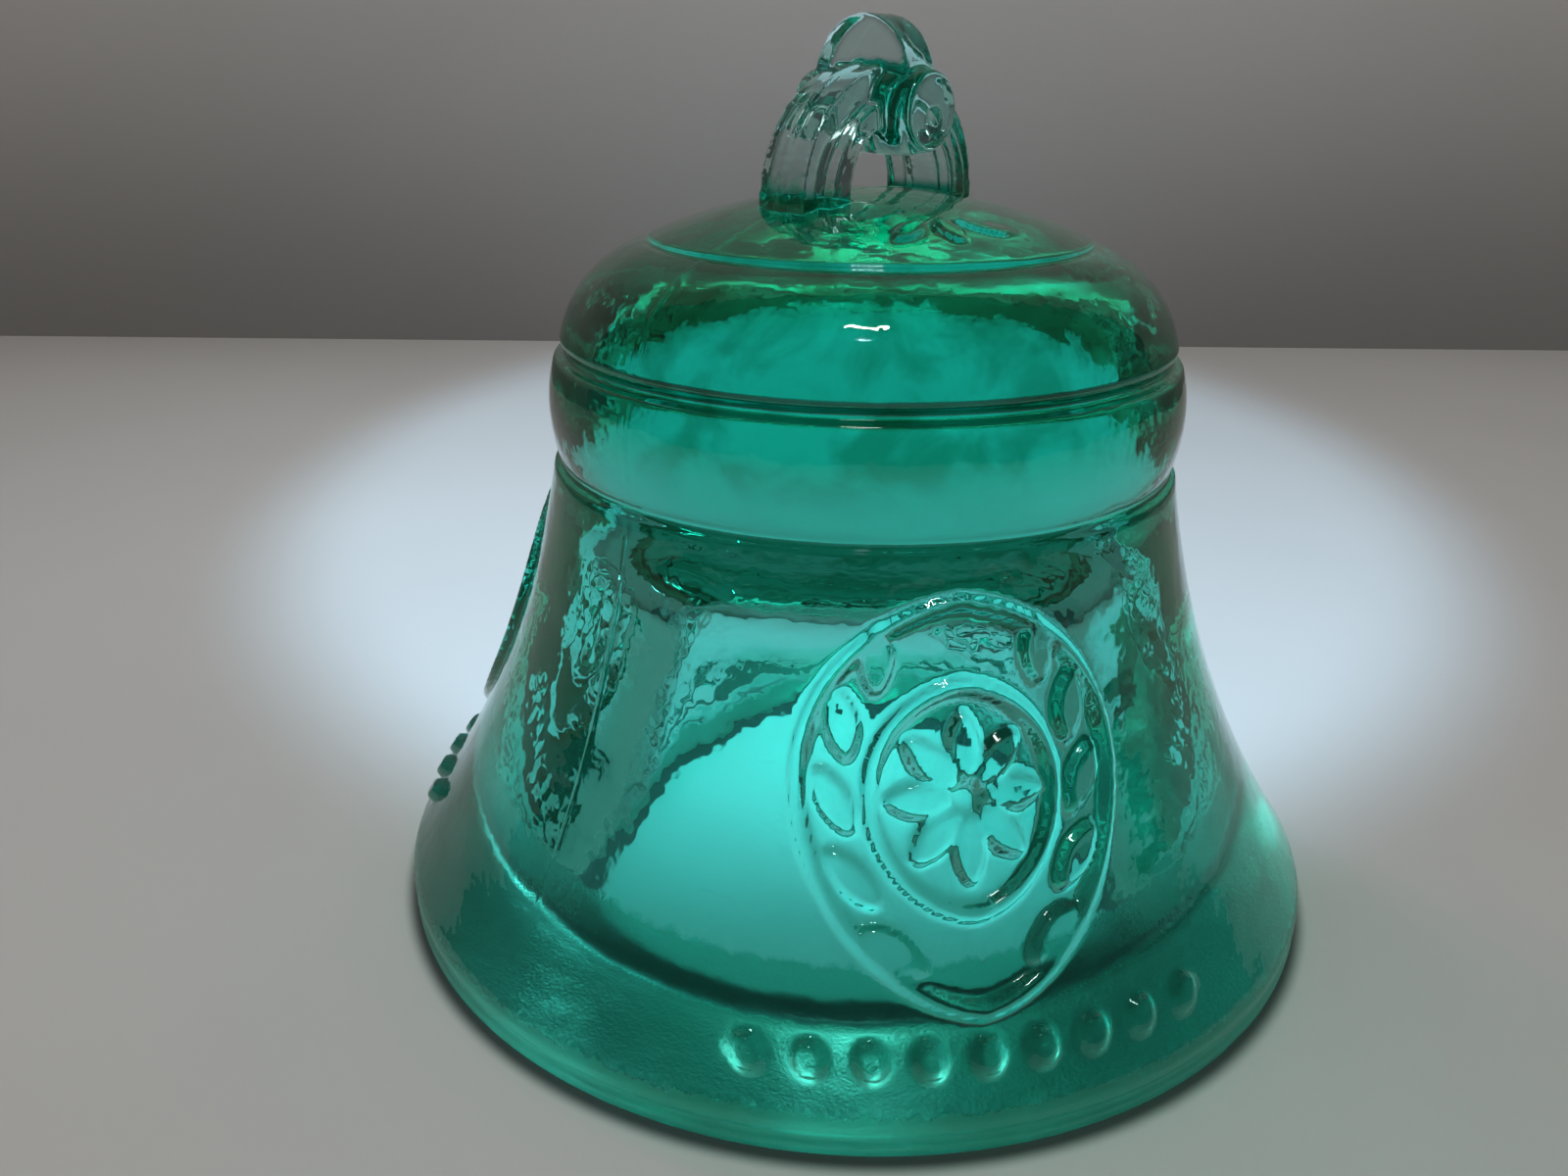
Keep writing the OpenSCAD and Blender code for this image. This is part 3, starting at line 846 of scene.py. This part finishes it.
def archOutline(c, radius, widen):
    archSteps, bendSteps = 30, 14
    shift, base, height = c["archShift"], c["footLow"], c["archHeight"]
    gap, bend, top = c["gap"] + widen, c["gapRound"], c["gapTop"] + widen
    right = arcPoints((shift, height), radius, 0, 90, archSteps)
    left = arcPoints((-shift, height), radius, 90, 180, archSteps)
    inner = (arcPoints((bend - gap, top - bend), bend, 180, 90, bendSteps)
             + arcPoints((gap - bend, top - bend), bend, 90, 0, bendSteps))
    return ([(radius + shift, base)] + right + left + [(-radius - shift, base), (-gap, base)] + inner
            + [(gap, base)])


def lugOutline(c):
    sideSteps = 24
    half, rise = c["lugHalf"], c["lugTop"] - c["lugMiddle"]
    radius = (rise ** 2 + half ** 2) / (2 * half)
    turn = math.degrees(math.asin(rise / radius))
    start = math.degrees(math.asin((c["lugLow"] - c["lugMiddle"]) / radius))
    right = arcPoints((half - radius, c["lugMiddle"]), radius, start, turn, sideSteps)
    left = [(-a, b) for a, b in right[::-1]]
    return right + left[1:] + [(-c["stem"], c["lugLow"]), (-c["stem"], c["pinHeight"]),
                               (c["stem"], c["pinHeight"]), (c["stem"], c["lugLow"])]


def makeCrown(c):
    build = bmesh.new()
    # the rib, the lower sides of the hub and the mould line over the top
    for grow, widen, half in ((0.0, 0.0, c["halfRib"]), (-c["sideDrop"], 0.0, c["halfSide"]),
                              (c["seam"], c["seamWiden"], c["seamHalf"])):
        slab(build, archOutline(c, c["archRadius"] + grow, widen), "X", -half, half)
    slab(build, lugOutline(c), "Y", -c["lugThick"], c["lugThick"])
    end, taper = c["pinHalf"], c["pin"] - c["pinTaper"]
    edge = [(end - c["pinRound"] * (1 - math.sin(a)), taper - c["pinRound"] * (1 - math.cos(a)))
            for a in np.radians([0, 22, 45, 68, 90])]
    half = [(c["halfSide"], c["pin"])] + edge + [(end, 0)]
    turned(build, [(-x, r) for x, r in half[::-1]] + half, c["pinSides"], c["pinHeight"])
    bmesh.ops.recalc_face_normals(build, faces=build.faces)
    mesh = bpy.data.meshes.new("bellCrown")
    build.to_mesh(mesh)
    build.free()
    crown = addObject("bellCrown", mesh)
    remesh = crown.modifiers.new("voxels", "REMESH")
    remesh.mode = "VOXEL"
    remesh.voxel_size = c["voxel"] * mm
    soften = crown.modifiers.new("soften", "SMOOTH")
    soften.factor = c["softening"]
    soften.iterations = c["smoothing"]
    return bakeModifiers(crown)


crown = makeCrown(crownShape)
print("crown made:", len(crown.data.polygons), "faces")


def combineMeshes(thing, other, operation):
    modifier = thing.modifiers.new("combine", "BOOLEAN")
    modifier.operation = operation
    modifier.solver = "EXACT"
    modifier.object = other
    bakeModifiers(thing)
    bpy.data.objects.remove(other)


def cutDimples(crown, c):
    # a round dimple, low on the end of each stub
    for side in (-1, 1):
        build = bmesh.new()
        bmesh.ops.create_uvsphere(build, u_segments=c["pinSides"], v_segments=c["pinSides"] // 2,
                                  radius=c["dimple"] * mm)
        out = side * (c["pinHalf"] + c["dimple"] - c["dimpleDepth"]) * mm
        bmesh.ops.translate(build, verts=build.verts, vec=(out, 0, (c["pinHeight"] - c["dimpleDrop"]) * mm))
        mesh = bpy.data.meshes.new("dimpleCutter")
        build.to_mesh(mesh)
        build.free()
        cutter = addObject("dimpleCutter", mesh)
        combineMeshes(crown, cutter, "DIFFERENCE")


def finishBell(bell, name, material):
    bell.name = name
    bell.data.name = name
    bell.data.materials.clear()
    bell.data.materials.append(material)
    for polygon in bell.data.polygons:
        polygon.use_smooth = True
        polygon.material_index = 0
    build = bmesh.new()
    build.from_mesh(bell.data)
    openEdges = sum(1 for edge in build.edges if not edge.is_manifold)
    build.free()
    triangles = sum(len(polygon.vertices) - 2 for polygon in bell.data.polygons)
    print("bell joined:", triangles, "triangles,", openEdges, "open edges")


cutDimples(crown, crownShape)
bell = body
combineMeshes(bell, crown, "UNION")
finishBell(bell, "bellGlass", tealGlass)
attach(bell, "root")
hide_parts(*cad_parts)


# metres; the table lies a hair below the foot, so that the two faces never coincide
stageSize = {"floor": 1.6, "floorGap": 0.00005, "wallBehind": 0.257, "wallWidth": 1.2, "wallHeight": 0.9,
             "wallTurn": 3.54}


def flatSquare(name, corners, material):
    mesh = bpy.data.meshes.new(name)
    mesh.from_pydata([tuple(c) for c in corners], [], [(0, 1, 2, 3)])
    thing = addObject(name, mesh)
    mesh.materials.append(material)
    return thing


def makeStage(s):
    half = s["floor"] / 2
    low = -s["floorGap"]
    flatSquare("floor", [(-half, -half, low), (half, -half, low), (half, half, low), (-half, half, low)],
               plainMaterial("paleTable", floorLook, floorShade))
    back = flatDirection(cameraView["azimuth"] + 180 + s["wallTurn"]) * s["wallBehind"]
    along = flatDirection(cameraView["azimuth"] + 90 + s["wallTurn"]) * s["wallWidth"] / 2
    top = Vector((0, 0, s["wallHeight"]))
    flatSquare("wall", [back - along, back + along, back + along + top, back - along + top],
               plainMaterial("greyWall", wallLook, wallShade))


# metres and watts; the torch aims past the bell at the table, and the panels at its middle
lights = {
    "aimHeight": 0.055,
    "torch": {"azimuth": -50, "elevation": 50, "distance": 0.42, "aimBehind": 0.108, "spread": 30,
              "softEdge": 0.30, "radius": 0.012, "power": 6.7, "color": (0.50, 0.77, 1.0)},
    "glint": {"azimuth": -50, "elevation": 72, "distance": 0.40, "size": (0.07, 0.018), "power": 0.22,
              "color": (1.0, 1.0, 1.0)},
    "ceiling": {"azimuth": 130, "elevation": 60, "distance": 0.55, "size": (0.6, 0.6), "power": 1.15,
                "color": (1.0, 0.97, 0.93)},
    "spark": {"azimuth": 172, "elevation": 40, "distance": 0.22, "size": (0.03, 0.03), "power": 0.09,
              "color": (0.82, 0.92, 1.0)},
}


def placeLamp(name, data, look, aim):
    data.energy = look["power"]
    data.color = look["color"]
    lamp = addObject(name, data)
    up = math.radians(look["elevation"])
    toLamp = flatDirection(look["azimuth"]) * math.cos(up) + Vector((0, 0, math.sin(up)))
    lamp.location = aim + toLamp * look["distance"]
    lamp.rotation_euler = toLamp.to_track_quat("Z", "Y").to_euler()
    return lamp


def makeLights(table):
    look = table["torch"]
    torch = bpy.data.lights.new("torch", "SPOT")
    torch.spot_size = math.radians(look["spread"])
    torch.spot_blend = look["softEdge"]
    torch.shadow_soft_size = look["radius"]
    aim = flatDirection(cameraView["azimuth"] + 180) * look["aimBehind"]
    placeLamp("torch", torch, look, aim).visible_glossy = False
    for name in ("glint", "ceiling", "spark"):
        panel = bpy.data.lights.new(name, "AREA")
        panel.shape = "RECTANGLE"
        panel.size, panel.size_y = table[name]["size"]
        lamp = placeLamp(name, panel, table[name], Vector((0, 0, table["aimHeight"])))
        lamp.visible_glossy = name == "glint"  # the others leave no white patch on the crown


# mirrored is the level that reflections see
sky = {"level": 0.31, "mirrored": 0.05, "color": (1.0, 0.97, 0.94, 1.0)}


def makeSky(look):
    world = bpy.data.worlds.new("softGrey")
    world.use_nodes = True
    tree = world.node_tree
    background = tree.nodes["Background"]
    background.inputs["Color"].default_value = look["color"]
    rays = tree.nodes.new("ShaderNodeLightPath")
    mirrored = rays.outputs["Is Glossy Ray"]
    level = rampBetween(tree, mirrored, 0.0, 1.0, False, look["level"], look["mirrored"])
    link(tree, level, background.inputs["Strength"])
    bpy.context.scene.world = world


# thick glass needs many turns inside it
lightTurns = {"all": 32, "glossy": 24, "transmission": 32, "transparent": 16}


def setRender(turns):
    scene = bpy.context.scene
    scene.view_settings.view_transform = "Standard"
    scene.cycles.max_bounces = turns["all"]
    scene.cycles.glossy_bounces = turns["glossy"]
    scene.cycles.transmission_bounces = turns["transmission"]
    scene.cycles.transparent_max_bounces = turns["transparent"]


makeStage(stageSize)
makeLights(lights)
makeSky(sky)
setRender(lightTurns)
print("stage and lights made")
